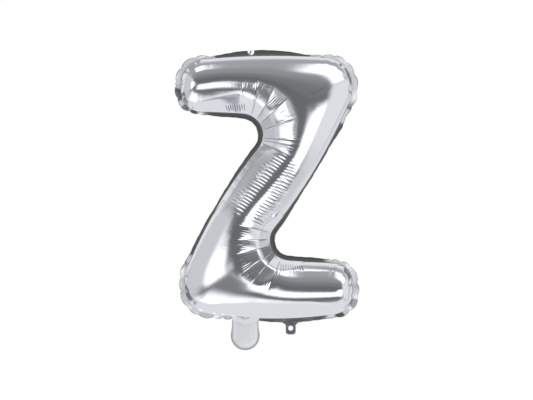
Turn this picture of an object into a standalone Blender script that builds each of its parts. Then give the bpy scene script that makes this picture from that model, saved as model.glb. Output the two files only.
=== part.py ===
"""Letter Z foil balloon, filled with air, at its real size.

Two sheets of metallised film are welded together along the letter's outline and swell
between the welds. Outside the weld runs a flat margin, which puckers round the letter's
ends and corners. A filling tail and a small hanging tab stand below the bottom bar.

The letter is read from the front, looking along +Y, with +X to the right and +Z up.
The origin is the middle of the letter, halfway up its height and in the weld's plane.
"""

import math

import bmesh
import bpy
from mathutils import Vector

MM = 0.001

# The weld's outline, clockwise from the top bar's free end: corner, x, z and radius in mm,
# and how far the edge that follows bows outwards.
CORNERS = (
    ("top_end_upper", -108.0, 161.5, 31.0, 3.0),
    ("top_right", 110.5, 164.5, 36.0, 0.0),
    ("right_shoulder", 109.5, 110.5, 45.0, 6.5),
    ("right_bend", -15.0, -94.0, 26.0, 0.0),
    ("bottom_end_upper", 109.5, -98.5, 25.0, 0.0),
    ("bottom_end_lower", 112.5, -164.0, 27.0, 5.5),
    ("bottom_left", -103.5, -163.0, 34.0, 0.0),
    ("left_shoulder", -103.5, -106.0, 48.0, 6.5),
    ("left_bend", 17.5, 90.5, 28.0, 0.0),
    ("top_end_lower", -109.5, 96.0, 25.0, 0.0),
)

# The two rails that a panel is lofted between, each from the top bar's free end to the
# bottom bar's.
UPPER_RAIL = ("top_end_upper", "top_right", "right_shoulder", "right_bend", "bottom_end_upper")
LOWER_RAIL = ("top_end_lower", "left_bend", "left_shoulder", "bottom_left", "bottom_end_lower")

# Where a station of the loft is known on both rails. Each place is a corner's arc, its
# start or end as the rail runs, and mm past that. Then come how many steps lead to the next
# row, how deep each second step's pleat is, and how far in from the lower and from the upper
# weld the film is pulled flat: up to its first fold, and on to its second one. All in mm.
STATIONS = (
    (("top_end_upper", "start", 0), ("top_end_lower", "start", 0), 6, 0.0, (0, 0), (0, 0)),
    (("top_end_upper", "end", 0), ("top_end_lower", "end", 0), 2, 0.0, (9, 9), (0, 0)),
    (("top_end_upper", "end", 26), ("top_end_lower", "end", 24), 2, 0.0, (18, 18), (0, 0)),
    (("top_end_upper", "end", 52), ("left_bend", "start", 0), 22, 1.0, (24, 24), (0, 0)),
    (("right_shoulder", "end", 100), ("left_bend", "end", 0), 4, 0.8, (15, 25), (0, 0)),
    (("right_shoulder", "end", 122), ("left_bend", "end", 24), 18, 0.8, (0, 0), (0, 0)),
    (("right_bend", "start", 0), ("left_shoulder", "start", -88), 22, 1.0, (0, 0), (13, 24)),
    (("right_bend", "end", 0), ("bottom_left", "end", 100), 2, 0.0, (23, 23), (12, 34)),
    (("right_bend", "end", 24), ("bottom_left", "end", 122), 2, 0.0, (20, 20), (0, 0)),
    (("bottom_end_upper", "start", 0), ("bottom_end_lower", "start", 0), 6, 0.0, (11, 11), (0, 0)),
    (("bottom_end_upper", "end", 0), ("bottom_end_lower", "end", 0), 0, 0.0, (0, 0), (0, 0)),
)
BAR_HALF_DEPTH = 36.5
DIAGONAL_HALF_DEPTH = 37.5
BEND_SWELL = 3.5
ACROSS_STEPS = 16
END_ROUNDING = 17.0

FILM = 1.0
RIM = 1.2
CLEARANCE = 0.3

MARGIN_THICKNESS = 0.8
MARGIN_STEP = 3.25
PLAIN_STEP = 11.0
# How wide the margin is, clockwise: a place x, z on the weld and the width there, in mm.
MARGIN_WIDTHS = (
    (-108.0, 130.0, 6.5), (-86.0, 160.0, 4.5), (-70.0, 163.5, 2.4), (-45.0, 165.5, 5.8), (-12.0, 166.5, 7.3),
    (22.0, 166.5, 5.8), (52.0, 165.5, 2.6), (76.0, 163.5, 3.0), (92.0, 159.0, 6.0), (110.0, 132.0, 7.0),
    (102.0, 99.0, 5.0), (92.0, 79.0, 5.4), (80.0, 55.0, 2.4), (44.0, -7.0, 2.4), (21.0, -38.0, 5.4),
    (5.0, -69.0, 6.8), (33.0, -95.0, 6.6), (78.0, -97.0, 4.4), (92.0, -98.5, 3.6), (111.0, -130.0, 6.6),
    (84.0, -165.5, 4.2), (52.0, -168.5, 5.5), (31.5, -169.5, 5.8), (12.0, -169.5, 5.2), (-8.0, -169.0, 4.0),
    (-62.0, -166.5, 4.4), (-99.0, -148.0, 6.5), (-103.0, -105.0, 6.0), (-88.0, -75.0, 3.6),
    (-56.0, -18.0, 2.8), (-29.0, 25.0, 5.2), (-4.0, 65.0, 6.8), (-33.0, 92.0, 6.5), (-80.0, 94.5, 4.0),
    (-102.0, 103.0, 5.6),
)
PUCKER_PITCH = 13.0
PUCKER_DEPTH = 2.6
PUCKER_DIP = 0.6
LONGEST_PUCKERED_RUN = 45.0
LOWEST_CORNER_Z = -160.0

TAIL_X = -27.0
TAIL_Z = -191.3
TAIL_BULB_RADIUS = 18.1
TAIL_NECK_WIDTH = 33.2
TAIL_WIDENING = 14.0
TAIL_THICKNESS = 1.6

TAB_X = 31.5
TAB_WIDTH = 13.0
TAB_ROOT_Z = -173.8
TAB_BOTTOM_Z = -189.5
TAB_HOLE_Z = -181.5
TAB_HOLE_RADIUS = 3.0
TAB_FILLET = 5.5
TAB_CORNER = 3.5

COLOURS = {
    "front_panel": (0.78, 0.79, 0.82, 1.0),
    "back_panel": (0.78, 0.79, 0.82, 1.0),
    "seam_margin": (0.70, 0.71, 0.74, 1.0),
    "filling_tail": (0.72, 0.73, 0.76, 1.0),
    "hanging_tab": (0.30, 0.31, 0.34, 1.0),
}


def clear_scene():
    for obj in list(bpy.data.objects):
        bpy.data.objects.remove(obj, do_unlink=True)


def new_collection(name):
    collection = bpy.data.collections.new(name)
    bpy.context.scene.collection.children.link(collection)
    return collection


def foil(name, roughness=0.12):
    material = bpy.data.materials.new(name)
    material.use_nodes = True
    shader = material.node_tree.nodes["Principled BSDF"]
    shader.inputs["Base Color"].default_value = COLOURS[name]
    shader.inputs["Metallic"].default_value = 1.0
    shader.inputs["Roughness"].default_value = roughness
    return material


def translucent_film(name):
    material = foil(name, 0.35)
    material.node_tree.nodes["Principled BSDF"].inputs["Metallic"].default_value = 0.3
    return material


class Corner:
    """One rounded corner of the outline, run through clockwise."""

    def __init__(self, before, here, after, radius, bow):
        to_before = (before - here).normalized()
        to_after = (after - here).normalized()
        half_angle = to_before.angle(to_after) / 2
        reach = radius / math.tan(half_angle)
        self.start = here + to_before * reach
        self.end = here + to_after * reach
        self.centre = here + (to_before + to_after).normalized() * (radius / math.sin(half_angle))
        self.radius = radius
        self.bow = bow
        self.convex = to_before.x * to_after.y - to_before.y * to_after.x > 0
        self.first = math.atan2(self.start.y - self.centre.y, self.start.x - self.centre.x)
        sweep = math.pi - 2 * half_angle
        self.sweep = -sweep if self.convex else sweep

    def points(self, step):
        """Points along the arc with their outward normals, end points included."""
        count = max(2, math.ceil(abs(self.sweep) * self.radius / step))
        out = 1 if self.convex else -1
        found = []
        for i in range(count + 1):
            angle = self.first + self.sweep * i / count
            ray = Vector((math.cos(angle), math.sin(angle)))
            found.append((self.centre + ray * self.radius, ray * out, self.convex))
        return found


def rounded_corners():
    places = [Vector((x, z)) for _, x, z, _, _ in CORNERS]
    made = {}
    for i, (name, _, _, radius, bow) in enumerate(CORNERS):
        after = places[(i + 1) % len(places)]
        made[name] = Corner(places[i - 1], places[i], after, radius, bow)
    return made


def edge_points(corner, following, step, puckered):
    """Points along the bowed edge from one corner's arc to the next, end points left out."""
    run = following.start - corner.end
    outward = Vector((-run.y, run.x)).normalized()
    count = max(2, math.ceil(run.length / step))
    found = []
    for i in range(1, count):
        part = i / count
        point = corner.end + run * part + outward * (4 * corner.bow * part * (1 - part))
        slope = run + outward * (4 * corner.bow * (1 - 2 * part))
        found.append((point, Vector((-slope.y, slope.x)).normalized(), puckered))
    return found


def outline(corners, step=MARGIN_STEP):
    """The whole weld line as (point, outward normal, puckered), in mm.

    A straight run is plain, unless it lies between two convex arcs that are near each
    other, where the margin puckers all the way.
    """
    made = [corners[name] for name, *_ in CORNERS]
    found = []
    for corner, following in zip(made, made[1:] + made[:1]):
        found += corner.points(step)
        length = (following.start - corner.end).length
        puckered = corner.convex and following.convex and length < LONGEST_PUCKERED_RUN
        found += edge_points(corner, following, step if puckered else PLAIN_STEP, puckered)
    return found


class Rail:
    """A path along corners, with the place of each arc's start and end as it runs."""

    def __init__(self, corners, names, clockwise):
        self.points = []
        self.lengths = []
        self.marks = {}
        for name, following in zip(names, names[1:] + (None,)):
            arc = [point for point, _, _ in corners[name].points(0.5)]
            if not clockwise:
                arc.reverse()
            for i, point in enumerate(arc):
                self.add(point)
                if i == 0:
                    self.marks[name, "start"] = self.lengths[-1]
            self.marks[name, "end"] = self.lengths[-1]
            if following:
                pair = (name, following) if clockwise else (following, name)
                edge = edge_points(corners[pair[0]], corners[pair[1]], PLAIN_STEP, False)
                for point, _, _ in edge if clockwise else edge[::-1]:
                    self.add(point)

    def add(self, point):
        run = (point - self.points[-1]).length if self.points else 0.0
        self.lengths.append(self.lengths[-1] + run if self.lengths else 0.0)
        self.points.append(point)

    def place(self, corner, end, past):
        return self.marks[corner, end] + past

    def at(self, length):
        for i in range(1, len(self.points)):
            if self.lengths[i] >= length:
                part = (length - self.lengths[i - 1]) / max(1e-9, self.lengths[i] - self.lengths[i - 1])
                return self.points[i - 1].lerp(self.points[i], part)
        return self.points[-1].copy()


def smooth(part):
    return part * part * (3 - 2 * part)


class Station:
    """One row of the loft: its points on both rails, its depth, pleat and folds."""

    def __init__(self, up, low, depth, pleat, side, low_folds, up_folds):
        self.up = up
        self.low = low
        self.depth = depth
        self.pleat = pleat
        self.side = side
        self.low_folds = low_folds
        self.up_folds = up_folds
        self.width = (up - low).length
        self.middle = (up + low) / 2

    def round_height(self, across):
        return self.depth * math.sqrt(max(0.0, 1 - across ** 2))

    def height(self, across):
        """Half depth of the film, from -1 at the lower weld to 1 at the upper one."""
        found = self.round_height(across)
        for folds, away in ((self.low_folds, 1 + across), (self.up_folds, 1 - across)):
            if folds[0] > 1 and away < 1:
                found = min(found, self.facet(folds, away * self.width / 2))
        weight = pleat_weight(across, self.side)
        return found - self.pleat * weight

    def facet(self, folds, away):
        """Height of the flat facets beside a weld, at a distance from it."""
        tops = [self.round_height(1 - fold * 2 / self.width) for fold in folds]
        if away <= folds[0] or folds[1] <= folds[0]:
            return tops[0] * away / folds[0]
        return tops[0] + (tops[1] - tops[0]) * (away - folds[0]) / (folds[1] - folds[0])


def pleat_weight(across, side):
    """Bend pleats are deepest near the inner bend, ribs in the middle of the diagonal."""
    if side:
        return max(0.0, min(1.0, 0.55 + 0.75 * across * side)) * math.sqrt(max(0.0, 1 - across ** 4))
    return max(0.0, 1 - across ** 2)


def blended(first, second, part):
    return [a + (b - a) * part for a, b in zip(first, second)]


def stations(corners):
    upper = Rail(corners, UPPER_RAIL, True)
    lower = Rail(corners, LOWER_RAIL, False)
    found = []
    for row, following in zip(STATIONS, STATIONS[1:]):
        up_from, low_from = upper.place(*row[0]), lower.place(*row[1])
        up_to, low_to = upper.place(*following[0]), lower.place(*following[1])
        side = 0
        if row[1][:2] == ("left_bend", "start"):
            side = -1
        if row[0][:2] == ("right_bend", "start"):
            side = 1
        diagonal = side == 0 and row[3] > 0
        for i in range(row[2]):
            part = i / row[2]
            up = upper.at(up_from + (up_to - up_from) * part)
            low = lower.at(low_from + (low_to - low_from) * part)
            depth = DIAGONAL_HALF_DEPTH if diagonal else BAR_HALF_DEPTH
            if side:
                depth += (DIAGONAL_HALF_DEPTH - BAR_HALF_DEPTH) * smooth(part if side < 0 else 1 - part)
                depth += BEND_SWELL * math.sin(math.pi * part)
            low_folds, up_folds = blended(row[4], following[4], part), blended(row[5], following[5], part)
            found.append(Station(up, low, depth, row[3] if i % 2 else 0.0, side, low_folds, up_folds))
    found.append(Station(upper.points[-1], lower.points[-1], BAR_HALF_DEPTH, 0.0, 0, (0, 0), (0, 0)))
    return found


def end_factor(station, first, last):
    """How far the swell has risen at a station, from 0 at a free end to 1 on the bar."""
    near = min((station.middle - end.middle).length for end in (first, last))
    if near >= END_ROUNDING:
        return 1.0
    return math.sqrt(1 - (1 - near / END_ROUNDING) ** 2)


def swell(corners):
    """The front sheet's loft as rows of points in mm, which end in the plane y = -RIM."""
    rows = stations(corners)
    grid = []
    for station in rows:
        rise = end_factor(station, rows[0], rows[-1])
        line = []
        for j in range(ACROSS_STEPS + 1):
            across = math.sin(math.pi * (j / ACROSS_STEPS - 0.5))
            flat = station.low.lerp(station.up, (across + 1) / 2)
            on_weld = j in (0, ACROSS_STEPS) or rise == 0.0
            height = 0.0 if on_weld else rise * station.height(across)
            line.append(Vector((flat.x, -RIM - height, flat.y)))
        grid.append(line)
    return grid


def panel(name, front, corners, collection):
    """One sheet: the lofted swell, a short upright rim down to the weld, then thickness."""
    side = 1 if front else -1
    mesh_builder = bmesh.new()
    grid = []
    for line in swell(corners):
        grid.append([mesh_builder.verts.new((p.x * MM, side * p.y * MM, p.z * MM)) for p in line])
    for line, following in zip(grid, grid[1:]):
        for j in range(ACROSS_STEPS):
            face = (line[j], following[j], following[j + 1], line[j + 1])
            mesh_builder.faces.new(face if front else face[::-1])
    edges = [edge for edge in mesh_builder.edges if edge.is_boundary]
    made = bmesh.ops.extrude_edge_only(mesh_builder, edges=edges)["geom"]
    lowered = [item for item in made if isinstance(item, bmesh.types.BMVert)]
    drop = side * (RIM - CLEARANCE / 2) * MM
    bmesh.ops.translate(mesh_builder, verts=lowered, vec=(0, drop, 0))
    mesh = bpy.data.meshes.new(name)
    mesh_builder.to_mesh(mesh)
    mesh_builder.free()
    obj = bpy.data.objects.new(name, mesh)
    collection.objects.link(obj)
    wall = obj.modifiers.new("Film", "SOLIDIFY")
    wall.thickness = FILM * MM
    wall.offset = -1
    mesh.materials.append(foil(name))
    mesh.shade_smooth()
    mesh.set_sharp_from_angle(angle=math.radians(30))
    return obj


def hide(obj):
    obj.hide_render = True
    obj.display_type = "WIRE"


def flat_piece(name, loops, thickness, collection):
    """A mesh plate in the weld's plane, from closed loops of (x, z) points in mm."""
    curve = bpy.data.curves.new(name, "CURVE")
    curve.dimensions = "2D"
    curve.fill_mode = "BOTH"
    curve.extrude = thickness / 2 * MM
    for loop in loops:
        spline = curve.splines.new("POLY")
        spline.points.add(len(loop) - 1)
        for point, place in zip(spline.points, loop):
            point.co = (place.x * MM, place.y * MM, 0, 1)
        spline.use_cyclic_u = True
    guide = bpy.data.objects.new(name + "_outline", curve)
    collection.objects.link(guide)
    guide.rotation_euler.x = math.pi / 2
    bpy.context.view_layer.update()
    evaluated = guide.evaluated_get(bpy.context.evaluated_depsgraph_get())
    mesh = bpy.data.meshes.new_from_object(evaluated)
    mesh.transform(guide.matrix_world)
    bpy.data.objects.remove(guide)
    mesh_builder = bmesh.new()
    mesh_builder.from_mesh(mesh)
    bmesh.ops.remove_doubles(mesh_builder, verts=mesh_builder.verts, dist=0.00001)
    bmesh.ops.recalc_face_normals(mesh_builder, faces=mesh_builder.faces)
    mesh_builder.to_mesh(mesh)
    mesh_builder.free()
    mesh.name = name
    obj = bpy.data.objects.new(name, mesh)
    collection.objects.link(obj)
    return obj


def subtract(obj, cutter, label):
    modifier = obj.modifiers.new(label, "BOOLEAN")
    modifier.operation = "DIFFERENCE"
    modifier.object = cutter


def on_bottom(line, x):
    """The bottom edge at x: the index of the last point before it, and the place itself."""
    for i, ((here, normal, _), (after, _, _)) in enumerate(zip(line, line[1:])):
        if here.y < LOWEST_CORNER_Z and here.x > x >= after.x:
            part = (here.x - x) / (here.x - after.x)
            return i, (here.lerp(after, part), normal, False)
    raise ValueError("the bottom edge does not reach this place")


def margin_line(corners):
    """The weld line from the filling tail clockwise back to it, with exact end points."""
    line = outline(corners)
    reach = TAIL_NECK_WIDTH / 2 + CLEARANCE
    before_first, first = on_bottom(line, TAIL_X - reach)
    before_last, last = on_bottom(line, TAIL_X + reach)
    return [first] + line[before_first + 1:] + line[:before_last + 1] + [last]


def margin_widths(line):
    """The margin's plain width at each of the line's points."""
    lengths = [0.0]
    for (here, _, _), (after, _, _) in zip(line, line[1:]):
        lengths.append(lengths[-1] + (after - here).length)
    knots = []
    for x, z, width in MARGIN_WIDTHS:
        nearest = min(range(len(line)), key=lambda i: (line[i][0] - Vector((x, z))).length)
        knots.append((lengths[nearest], width))
    knots.sort()
    widths = []
    for length in lengths:
        before = max((knot for knot in knots if knot[0] <= length), default=knots[0])
        after = min((knot for knot in knots if knot[0] > length), default=knots[-1])
        gap = after[0] - before[0]
        part = (length - before[0]) / gap if gap > 0 else 0.0
        widths.append(before[1] + (after[1] - before[1]) * part)
    return widths


def seam_margin(corners, collection):
    line = margin_line(corners)
    outer = []
    run = 0.0
    for i, ((point, normal, puckered), width) in enumerate(zip(line, margin_widths(line))):
        run = run + (point - line[i - 1][0]).length if puckered else 0.0
        if puckered:
            width += PUCKER_DEPTH * (abs(math.sin(math.pi * run / PUCKER_PITCH)) - PUCKER_DIP)
        outer.append(point + normal * width)
    inner = [point + normal * CLEARANCE for point, normal, _ in line]
    margin = flat_piece("seam_margin", (outer + inner[::-1],), MARGIN_THICKNESS, collection)
    margin.data.materials.append(foil("seam_margin", 0.2))


def tail_outline():
    """The neck, which widens a little towards its round end."""
    radius = TAIL_BULB_RADIUS
    half_neck = TAIL_NECK_WIDTH / 2
    right = [Vector((half_neck, LOWEST_CORNER_Z)), Vector((half_neck, TAIL_Z + TAIL_WIDENING))]
    for i in range(1, 5):
        part = i / 4
        half = half_neck + (radius - half_neck) * smooth(part)
        right.append(Vector((half, TAIL_Z + TAIL_WIDENING * (1 - part))))
    for i in range(1, 13):
        angle = -math.pi / 2 * i / 12
        right.append(Vector((radius * math.cos(angle), TAIL_Z + radius * math.sin(angle))))
    left = [Vector((-point.x, point.y)) for point in reversed(right[:-1])]
    return [Vector((TAIL_X + point.x, point.y)) for point in right + left]


def filling_tail(corners, collection, cutters):
    tail = flat_piece("filling_tail", (tail_outline(),), TAIL_THICKNESS, collection)
    envelope = [point + normal * CLEARANCE for point, normal, _ in outline(corners)]
    body = flat_piece("envelope_outline", (envelope,), 8 * TAIL_THICKNESS, cutters)
    hide(body)
    subtract(tail, body, "Envelope")
    tail.data.materials.append(translucent_film("filling_tail"))


def tab_outline():
    """From the margin down: a fillet each side, straight sides and round lower corners."""
    half = TAB_WIDTH / 2
    right = [Vector((half + TAB_FILLET, TAB_ROOT_Z + 2))]
    steps = 6
    for i in range(steps + 1):
        angle = math.pi / 2 + math.pi / 2 * i / steps
        centre = Vector((half + TAB_FILLET, TAB_ROOT_Z - TAB_FILLET))
        right.append(centre + Vector((math.cos(angle), math.sin(angle))) * TAB_FILLET)
    for i in range(steps + 1):
        angle = -math.pi / 2 * i / steps
        centre = Vector((half - TAB_CORNER, TAB_BOTTOM_Z + TAB_CORNER))
        right.append(centre + Vector((math.cos(angle), math.sin(angle))) * TAB_CORNER)
    left = [Vector((-point.x, point.y)) for point in reversed(right)]
    return [Vector((TAB_X + point.x, point.y)) for point in right + left]


def hanging_tab(corners, collection, cutters):
    steps = 24
    middle = Vector((TAB_X, TAB_HOLE_Z))
    hole = []
    for i in range(steps):
        angle = 2 * math.pi * i / steps
        hole.append(middle + Vector((math.cos(angle), math.sin(angle))) * TAB_HOLE_RADIUS)
    tab = flat_piece("hanging_tab", (tab_outline(), hole), MARGIN_THICKNESS, collection)
    tab.data.materials.append(foil("hanging_tab", 0.25))
    line = margin_line(corners)
    widths = margin_widths(line)
    edge = [point + normal * (width + CLEARANCE) for (point, normal, _), width in zip(line, widths)]
    body = flat_piece("margin_outline", (edge,), 8 * TAIL_THICKNESS, cutters)
    hide(body)
    subtract(tab, body, "Margin")


def main():
    clear_scene()
    balloon = new_collection("letter_balloon")
    cutters = new_collection("cutters")
    corners = rounded_corners()
    panel("front_panel", True, corners, balloon)
    panel("back_panel", False, corners, balloon)
    seam_margin(corners, balloon)
    filling_tail(corners, balloon, cutters)
    hanging_tab(corners, balloon, cutters)


main()
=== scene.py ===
"""Looks of the letter Z foil balloon: its film, folds, welded margin, tail, tab and studio.

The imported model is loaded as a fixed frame. Each piece is made by an operator of its own,
with sizes and colours in property groups, so that the file reads as a small Blender add-on.
Lengths in the tables and in the working functions are in mm, in the letter's plane (x to the
right, z up). Property groups and meshes hold metres.
"""

import math

import bmesh
import bpy
import numpy as np
from bpy.props import FloatProperty, FloatVectorProperty, PointerProperty
from mathutils.kdtree import KDTree
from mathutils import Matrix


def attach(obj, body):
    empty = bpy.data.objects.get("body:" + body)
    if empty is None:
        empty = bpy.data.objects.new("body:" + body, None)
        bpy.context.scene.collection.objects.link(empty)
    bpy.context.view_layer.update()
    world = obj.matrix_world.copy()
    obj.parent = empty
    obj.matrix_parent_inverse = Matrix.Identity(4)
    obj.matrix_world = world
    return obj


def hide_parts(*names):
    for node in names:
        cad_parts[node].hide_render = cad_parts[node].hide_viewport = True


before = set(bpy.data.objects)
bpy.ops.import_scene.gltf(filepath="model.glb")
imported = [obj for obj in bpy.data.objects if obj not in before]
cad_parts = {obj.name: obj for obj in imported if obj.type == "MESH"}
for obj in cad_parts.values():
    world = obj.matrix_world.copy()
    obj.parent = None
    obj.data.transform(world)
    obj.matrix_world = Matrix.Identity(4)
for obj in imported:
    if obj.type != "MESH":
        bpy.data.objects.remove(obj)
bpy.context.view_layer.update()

bl_info = {
    "name": "Letter foil balloon",
    "version": (1, 0, 0),
    "blender": (4, 5, 0),
    "location": "View3D > Sidebar > Balloon",
    "description": "Makes the film, margin, tail and tab of a letter foil balloon",
    "category": "Add Mesh",
}

MM = 0.001

# The weld line's corners, clockwise from the top bar's free end: name, x, z, radius, and
# how far the edge that follows bows outwards.
CORNERS = (
    ("top_end_upper", -108, 161.5, 31, 3),
    ("top_right", 110.5, 164.5, 36, 0),
    ("right_shoulder", 109.5, 110.5, 45, 6.5),
    ("right_bend", -15, -94, 26, 0),
    ("bottom_end_upper", 109.5, -98.5, 25, 0),
    ("bottom_end_lower", 112.5, -164, 27, 5.5),
    ("bottom_left", -103.5, -163, 34, 0),
    ("left_shoulder", -103.5, -106, 48, 6.5),
    ("left_bend", 17.5, 90.5, 28, 0),
    ("top_end_lower", -109.5, 96, 25, 0),
)
WELD_STEP = 0.5
WELD_SOFTENING = 4.0

# The film puckers where the weld turns outwards, fully where its radius is under PUCKER_RADIUS,
# and along the bottom to the left of and below LOOSE_BOTTOM. The puckers part the margin into
# lobes of LOBE_PITCH times a random share within LOBE_SPREAD.
PUCKER_RADIUS = 40.0
LOOSE_BOTTOM = (-44, -140)
TURN_BLUR, PUCKER_BLUR = 3.0, 7.0
PUCKER_GAIN = 1.5
LOBE_PITCH, LAST_LOBE = 15.0, 14.0
LOBE_SPREAD = (0.6, 1.4)

# Matching places on the weld line's two sides: upper x, z, lower x, z, and how many rows
# of the film's mesh lead to the next. Rows are close where the film is finely folded.
ROWS = (
    (-107, 137, -108.5, 122, 40),
    (-80, 167, -84, 95, 24),
    (-52, 168, -54, 93, 92),
    (-24, 169, -33, 91, 192),
    (54, 19.5, -6.5, 53, 206),
    (6.5, -53, -54, -19.5, 192),
    (33, -93.5, 24, -168, 86),
    (54, -94.5, 52, -168, 24),
    (86, -97, 84, -167, 40),
    (110, -122, 111.5, -137, 0),
)
ACROSS = 54
# The power by which rows crowd towards the two free ends.
END_CROWDING = 1.7

# The membrane is solved until what is left of its load falls by this much.
SOLVED = 1e-12
MOST_PASSES = 6000
# Points of the finished film nearer than SEAM_GAP are merged, and edges under LEAST_EDGE go.
SEAM_GAP, LEAST_EDGE = 2e-3, 1e-4
# A bar gets a little shallower within TIP_REACH of its free end, by TIP_TAPER in all.
TIP_REACH = 62.0
TIP_TAPER = 0.045
CORNER_SOFTNESS = 2.0
DEPTH_BLUR = 6.0

# Folds along the lower and upper sides of ROWS: a place on the weld, and how far in from it
# the film is pulled flat, in one facet up to the first fold and one more up to the second.
LOWER_FOLDS = (
    (-108.5, 122, 0, 0), (-97, 98, 5.5, 5.5), (-86, 95, 9.5, 9.5), (-62, 93.5, 17.5, 17.5),
    (-36, 92, 24.5, 25), (-18, 87.5, 18, 28), (-6, 74, 17, 28), (-4, 60, 17, 30), (-6, 53.5, 16, 29),
    (-8.5, 49.5, 7.5, 19), (-31, 12, 6.5, 18), (-50, -18, 6, 16), (-66, -44, 0, 0), (-104, -125, 0, 0),
    (-93, -152, 12, 12), (-70, -164, 24, 24), (-29, -168.5, 27, 27), (16, -169, 23, 23),
    (56, -168, 19.5, 19.5), (100, -159, 9, 9), (112, -137, 0, 0),
)
UPPER_FOLDS = (
    (-107, 137, 0, 0), (24, -33, 0, 0), (11, -53, 13, 24), (4.5, -69, 14.5, 30), (12, -87, 15, 42),
    (19, -92, 14.5, 40), (24, -94, 13, 14), (52, -95.5, 0, 0), (111, -122, 0, 0),
)
# A fold nearer to the weld than LEAST_FOLD is left out, and so is a facet under LEAST_FACET wide.
# The facets flatten the film up to FOLDS_PAST_MIDDLE beyond the middle of each row.
LEAST_FOLD, LEAST_FACET = 1.5, 2.0
FOLDS_PAST_MIDDLE = 6.0
FOLD_BLUR, FOLD_SOFTNESS = 1.5, 0.7

# How far the crest of the swell lies off the middle, towards the upper side, along the lower side.
CREST_SHIFTS = (
    (-108.5, 122, -3), (-90, 95.5, 1), (-70, 94, 5.5), (-48, 93, 7), (-30, 92, 7), (-18, 87.5, 6),
    (-4, 65, 5.5), (-7, 53, 7.5), (-20, 32, 4), (-31, 12, 0.5), (-50, -18, -5), (-60, -34, -6.5),
    (-75, -60, -2.5), (-90, -78, 0), (-104, -125, 2.8), (-83, -160, 6.5), (-29, -168.5, 4.5),
    (16, -169, 0), (112, -137, 0),
)
CREST_BLUR = 9.0

# The fans of flat facets round the two inner bends: the bend's middle, and the creases between
# the facets in order, each by its bearing at the two FAN_REACHES, in degrees.
FANS = (
    ((-32, 64.5), ((63.4, 74.4), (46.2, 55.1), (32.5, 37.7), (14, 15), (-7.7, -6.6),
                   (-14.1, -10.4), (-21.2, -23.9))),
    ((31, -69), ((243.6, 246), (225, 228.2), (212.8, 215.1), (194.6, 194.2), (178, 180), (159.6, 165))),
)
FAN_REACHES = (30, 75)
# How far from the bend's middle the fans start and end, and the fine groove along each crease
# and stroke, then the half width over which a fan's crease also gets painted shade.
FAN_START, FAN_END = 28.0, 74.0
LINE_DEPTH, LINE_WIDTH, LINE_SHADE_HALF_WIDTH = 0.3, 0.6, 0.5

# Single faint creases: from x, z to x, z, depth and the width over which each side falls.
CREASES = (
    (58.7, 113.5, 84, 126.5, 0.30, 2.2),
    (58.7, 113.5, 20, 131.5, 0.26, 2.4),
    (58.7, 113.5, 58.7, 90, 0.22, 2.0),
)

# Each inner bend's middle, the bearings between which fine wrinkles lie, and how deep.
WRINKLED_BENDS = (
    (-32, 64.5, 101, -27, 0.26),
    (31, -69, -113, -214, 0.22),
)
WRINKLE_PITCH_DEGREES = 2.7

# Rows of short slanted strokes beside the bends: first x, z, last x, z, how many, and the
# way from each stroke's head to its foot at the first and at the last.
STROKES = (
    (-51, 102.5, -28, 103.5, 9, 2.4, -7.5, 1.2, -8),
    (19, -99, 45, -100.5, 10, 0.3, -7, 2, -6.5),
)

RIB_BEARING = math.radians(29)
RIB_MIDDLE = (1.5, 0)
# The smooth crest between the ribs: how far right of the diagonal's middle, how much more for
# each mm along it, and the distances from it between which the ribs rise.
RIB_CREST = (1.2, 0.15)
RIB_RISE = (2.5, 8.5)
RIGHT_RIBS = 0.7
# How far the ribs reach across the diagonal: place along it, left reach and right reach.
RIB_REACH = ((-52, -14, 19), (-40, -27, 22), (-28, -28, 24), (-14, -21, 25),
             (2, -20, 26), (20, -17, 26), (34, -9, 25), (44, -5, 18))
# How far from the weld a pucker of the film fades.
PUCKER_REACH = 5.5

# How wide the margin is, clockwise: a place x, z on the weld and the width there.
MARGIN_WIDTHS = (
    (-107, 140, 6.8), (-95, 155, 6), (-80, 162, 4), (-70, 164, 2.2), (-55, 165.5, 4.5), (-30, 166, 6.8),
    (-10, 166, 7.5), (15, 166, 6.8), (38, 165.5, 4.2), (52, 165, 2.2), (75, 163.5, 2.6), (88, 159, 5.5),
    (100, 150, 6.5), (110, 132, 7), (109, 110, 6.5), (103, 99, 5.5), (97, 90, 4), (90, 78, 5.5),
    (84, 66, 3.5), (76, 52, 2.2), (60, 25, 2), (45, 2, 2), (33, -17, 3), (22, -35, 5.2), (9, -55, 6.5),
    (5, -69, 6.8), (13, -88, 6.8), (33, -95, 6.5), (60, -96, 5.5), (80, -97, 4), (93, -99, 3.5),
    (104, -106, 5.5), (111, -130, 7), (108, -150, 6.5), (95, -162, 5), (80, -166, 4.2), (55, -168.5, 5.5),
    (31, -169, 5.8), (8, -169.5, 4.5), (-8, -169.5, 3.5), (-48, -169, 3.5), (-65, -166.5, 4.5),
    (-85, -158, 6), (-100, -143, 6.5), (-104, -125, 6.5), (-102, -105, 6), (-95, -92, 4.5),
    (-85, -73, 3.6), (-74, -50, 3.4), (-62, -30, 2.6), (-52, -13, 3), (-40, 8, 4), (-27, 28, 5.2),
    (-10, 52, 6.5), (-4, 65, 6.8), (-10, 83, 6.8), (-33, 92, 6.5), (-60, 93.5, 5.5), (-80, 94.5, 4),
    (-90, 96, 3), (-100, 103, 5.5), (-109, 120, 6.5),
)
MARGIN_COLUMNS = 9
# How far the margin starts inside the weld, and a height below the letter's bottom weld.
UNDER_FILM = 0.6
BELOW_WELD = -172.0
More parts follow.
